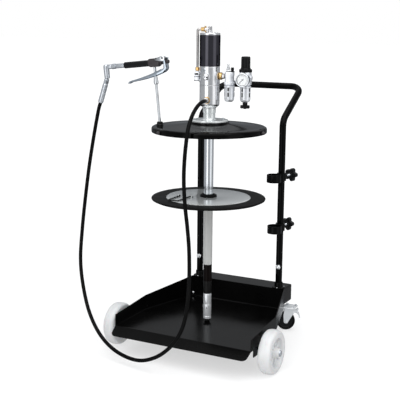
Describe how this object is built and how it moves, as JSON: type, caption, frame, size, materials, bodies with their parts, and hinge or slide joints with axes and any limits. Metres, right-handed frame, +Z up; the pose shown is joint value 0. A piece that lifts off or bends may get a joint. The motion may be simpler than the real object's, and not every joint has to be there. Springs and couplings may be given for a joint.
{
  "type": "air-operated grease pump set",
  "caption": "Air-operated grease pump with drum cover, follower plate, hose and control gun, standing on a wheeled drum trolley with a bent tube handle.",
  "frame": {"origin": "centre of the object's box on the floor under the wheels, hose left out", "axes": "+Z up, +X to the right hand of someone facing the front loading ramp, +Y to the back, where the handle is"},
  "size_m": [0.815, 0.7924, 1.1712],
  "materials": {
    "black_paint": "semi-gloss enamel, faint orange peel",
    "black_rubber": "matt moulded rubber",
    "black_plastic": "fine moulded grain",
    "white_nylon": "plain moulded nylon",
    "zinc": "bright zinc plate",
    "grey_sleeve": "satin light grey paint",
    "dark_metal": "browned steel",
    "steel": "turned steel",
    "aluminium": "turned aluminium",
    "brass": "turned brass",
    "white_dial": "clear sight dome",
    "chrome": "polished chrome plate"
  },
  "bodies": {
    "trolley": {"tray": "black_paint", "handle": "black_paint", "front_axle": "zinc", "axle_carrier": "black_paint", "caster_bar": "black_paint"},
    "wheel_left": {"front_wheel_left": "white_nylon"},
    "wheel_right": {"front_wheel_right": "white_nylon"},
    "fork_left": {"caster_fork_left": "zinc"},
    "fork_right": {"caster_fork_right": "zinc"},
    "caster_left": {"caster_wheel_left": "black_rubber"},
    "caster_right": {"caster_wheel_right": "black_rubber"},
    "brake_left": {"caster_brake_left": "zinc"},
    "brake_right": {"caster_brake_right": "zinc"},
    "clamp_upper": {"ring_clamp_upper": "black_paint"},
    "clamp_lower": {"ring_clamp_lower": "black_paint"},
    "clamp_knob_upper": {"star_knob_upper": "black_plastic"},
    "clamp_knob_lower": {"star_knob_lower": "black_plastic"},
    "pump": {"suction_tube": "zinc", "lower_sleeve": "grey_sleeve", "pump_barrel": "dark_metal", "foot_valve": "zinc", "bung_flange": "zinc", "drum_cover": "black_paint", "gun_holder": "black_plastic", "motor_cylinder": "black_paint", "motor_cap": "aluminium", "valve_body": "aluminium", "outlet_body": "aluminium", "top_elbow": "steel", "transfer_pipe": "steel", "transfer_block": "steel", "muffler": "aluminium", "outlet_fitting": "brass", "inlet_nut": "brass", "lubricator_body": "aluminium", "lubricator_bowl": "aluminium", "regulator_body": "aluminium", "filter_bowl": "aluminium", "bonnet": "black_plastic", "gauge_case": "steel", "hose": "black_rubber"},
    "piston": {"air_piston": "aluminium", "drive_rod": "steel"},
    "follower": {"follower_rubber": "black_rubber", "follower_disc": "zinc"},
    "bail": {"bail_handle": "zinc"},
    "screw_1": {"cover_screw_1": "zinc"},
    "screw_2": {"cover_screw_2": "zinc"},
    "screw_3": {"cover_screw_3": "zinc"},
    "pressure_knob": {"pressure_knob": "black_plastic"},
    "needle": {"gauge_needle": "black_plastic"},
    "oil_adjuster": {"oil_adjuster": "white_dial"},
    "drain": {"drain_cock": "black_plastic"},
    "gun": {"gun_grip": "black_plastic", "gun_head": "black_paint", "lever_bracket": "chrome", "gun_nozzle": "chrome", "swivel_elbow": "chrome"},
    "lever": {"gun_lever": "chrome"},
    "ferrule": {"hose_ferrule": "steel"}
  },
  "joints": [
    {"name": "wheel_left_spin", "type": "hinge", "parent": "trolley", "child": "wheel_left", "pos_m": [-0.2738, -0.2313, 0.0785], "axis": [1, 0, 0], "continuous": true},
    {"name": "wheel_right_spin", "type": "hinge", "parent": "trolley", "child": "wheel_right", "pos_m": [0.3464, -0.2313, 0.0785], "axis": [1, 0, 0], "continuous": true},
    {"name": "caster_left_swivel", "type": "hinge", "parent": "trolley", "child": "fork_left", "pos_m": [-0.1597, 0.2232, 0.09], "axis": [0, 0, 1], "continuous": true},
    {"name": "caster_left_spin", "type": "hinge", "parent": "fork_left", "child": "caster_left", "pos_m": [-0.17318, 0.21662, 0.036], "axis": [0.4384, -0.8988, 0], "continuous": true},
    {"name": "caster_left_brake", "type": "hinge", "parent": "fork_left", "child": "brake_left", "pos_m": [-0.15071, 0.22758, 0.0745], "axis": [0.4384, -0.8988, 0], "range_deg": [-18, 0]},
    {"name": "caster_right_swivel", "type": "hinge", "parent": "trolley", "child": "fork_right", "pos_m": [0.2323, 0.2232, 0.09], "axis": [0, 0, 1], "continuous": true},
    {"name": "caster_right_spin", "type": "hinge", "parent": "fork_right", "child": "caster_right", "pos_m": [0.21882, 0.21662, 0.036], "axis": [0.4384, -0.8988, 0], "continuous": true},
    {"name": "caster_right_brake", "type": "hinge", "parent": "fork_right", "child": "brake_right", "pos_m": [0.24129, 0.22758, 0.0745], "axis": [0.4384, -0.8988, 0], "range_deg": [-18, 0]},
    {"name": "clamp_upper_turn", "type": "hinge", "parent": "trolley", "child": "clamp_upper", "pos_m": [0.2075, 0.1599, 0.6186], "axis": [0, 0, 1], "range_deg": [-100, 100]},
    {"name": "clamp_upper_knob", "type": "hinge", "parent": "clamp_upper", "child": "clamp_knob_upper", "pos_m": [0.22122, 0.22446, 0.6186], "axis": [0.2079, 0.9781, 0], "range_deg": [0, 360]},
    {"name": "clamp_lower_turn", "type": "hinge", "parent": "trolley", "child": "clamp_lower", "pos_m": [0.2075, 0.1599, 0.425], "axis": [0, 0, 1], "range_deg": [-100, 100]},
    {"name": "clamp_lower_knob", "type": "hinge", "parent": "clamp_lower", "child": "clamp_knob_lower", "pos_m": [0.21095, 0.22581, 0.425], "axis": [0.0523, 0.9986, 0], "range_deg": [0, 360]},
    {"name": "pump_lift", "type": "slide", "parent": "trolley", "child": "pump", "axis": [0, 0, 1], "range_m": [0, 0.65]},
    {"name": "air_piston_stroke", "type": "slide", "parent": "pump", "child": "piston", "axis": [0, 0, 1], "range_m": [0, 0.075]},
    {"name": "follower_travel", "type": "slide", "parent": "pump", "child": "follower", "axis": [0, 0, 1], "range_m": [-0.4, 0.2]},
    {"name": "follower_bail", "type": "hinge", "parent": "follower", "child": "bail", "pos_m": [-0.0317, -0.1608, 0.5759], "axis": [-1, 0, 0], "range_deg": [0, 170]},
    {"name": "cover_screw_1_turn", "type": "hinge", "parent": "pump", "child": "screw_1", "pos_m": [0.2363, -0.1108, 0.8145], "axis": [1, 0, 0], "range_deg": [0, 360]},
    {"name": "cover_screw_2_turn", "type": "hinge", "parent": "pump", "child": "screw_2", "pos_m": [-0.0637, 0.06241, 0.8145], "axis": [-0.5, 0.866, 0], "range_deg": [0, 360]},
    {"name": "cover_screw_3_turn", "type": "hinge", "parent": "pump", "child": "screw_3", "pos_m": [-0.0637, -0.28401, 0.8145], "axis": [-0.5, -0.866, 0], "range_deg": [0, 360]},
    {"name": "pressure_knob_turn", "type": "hinge", "parent": "pump", "child": "pressure_knob", "pos_m": [0.16199, -0.08408, 1.05], "axis": [0, 0, 1], "range_deg": [-900, 0]},
    {"name": "gauge_needle_turn", "type": "hinge", "parent": "pump", "child": "needle", "pos_m": [0.17255, -0.13377, 0.995], "axis": [0.2079, -0.9781, 0], "range_deg": [-270, 0]},
    {"name": "oil_adjuster_turn", "type": "hinge", "parent": "pump", "child": "oil_adjuster", "pos_m": [0.10135, -0.09697, 1.03], "axis": [0, 0, 1], "range_deg": [-180, 180]},
    {"name": "drain_turn", "type": "hinge", "parent": "pump", "child": "drain", "pos_m": [0.16199, -0.08408, 0.905], "axis": [0, 0, 1], "range_deg": [0, 90]},
    {"name": "gun_lift", "type": "slide", "parent": "pump", "child": "gun", "axis": [-0.1063, 0, 0.9943], "range_m": [0, 0.06]},
    {"name": "gun_lever_squeeze", "type": "hinge", "parent": "gun", "child": "lever", "pos_m": [-0.10768, -0.1808, 1.06445], "axis": [0, 1, 0], "range_deg": [0, 14], "stiffness_Nm_per_rad": 0.5, "springref_deg": -34.38},
    {"name": "hose_swivel", "type": "hinge", "parent": "gun", "child": "ferrule", "pos_m": [-0.34672, -0.1808, 0.98249], "axis": [-0.319, 0, -0.9478], "continuous": true}
  ],
  "couplings": [
    {"joint": "gauge_needle_turn", "follows": "pressure_knob_turn", "ratio": 0.3}
  ]
}
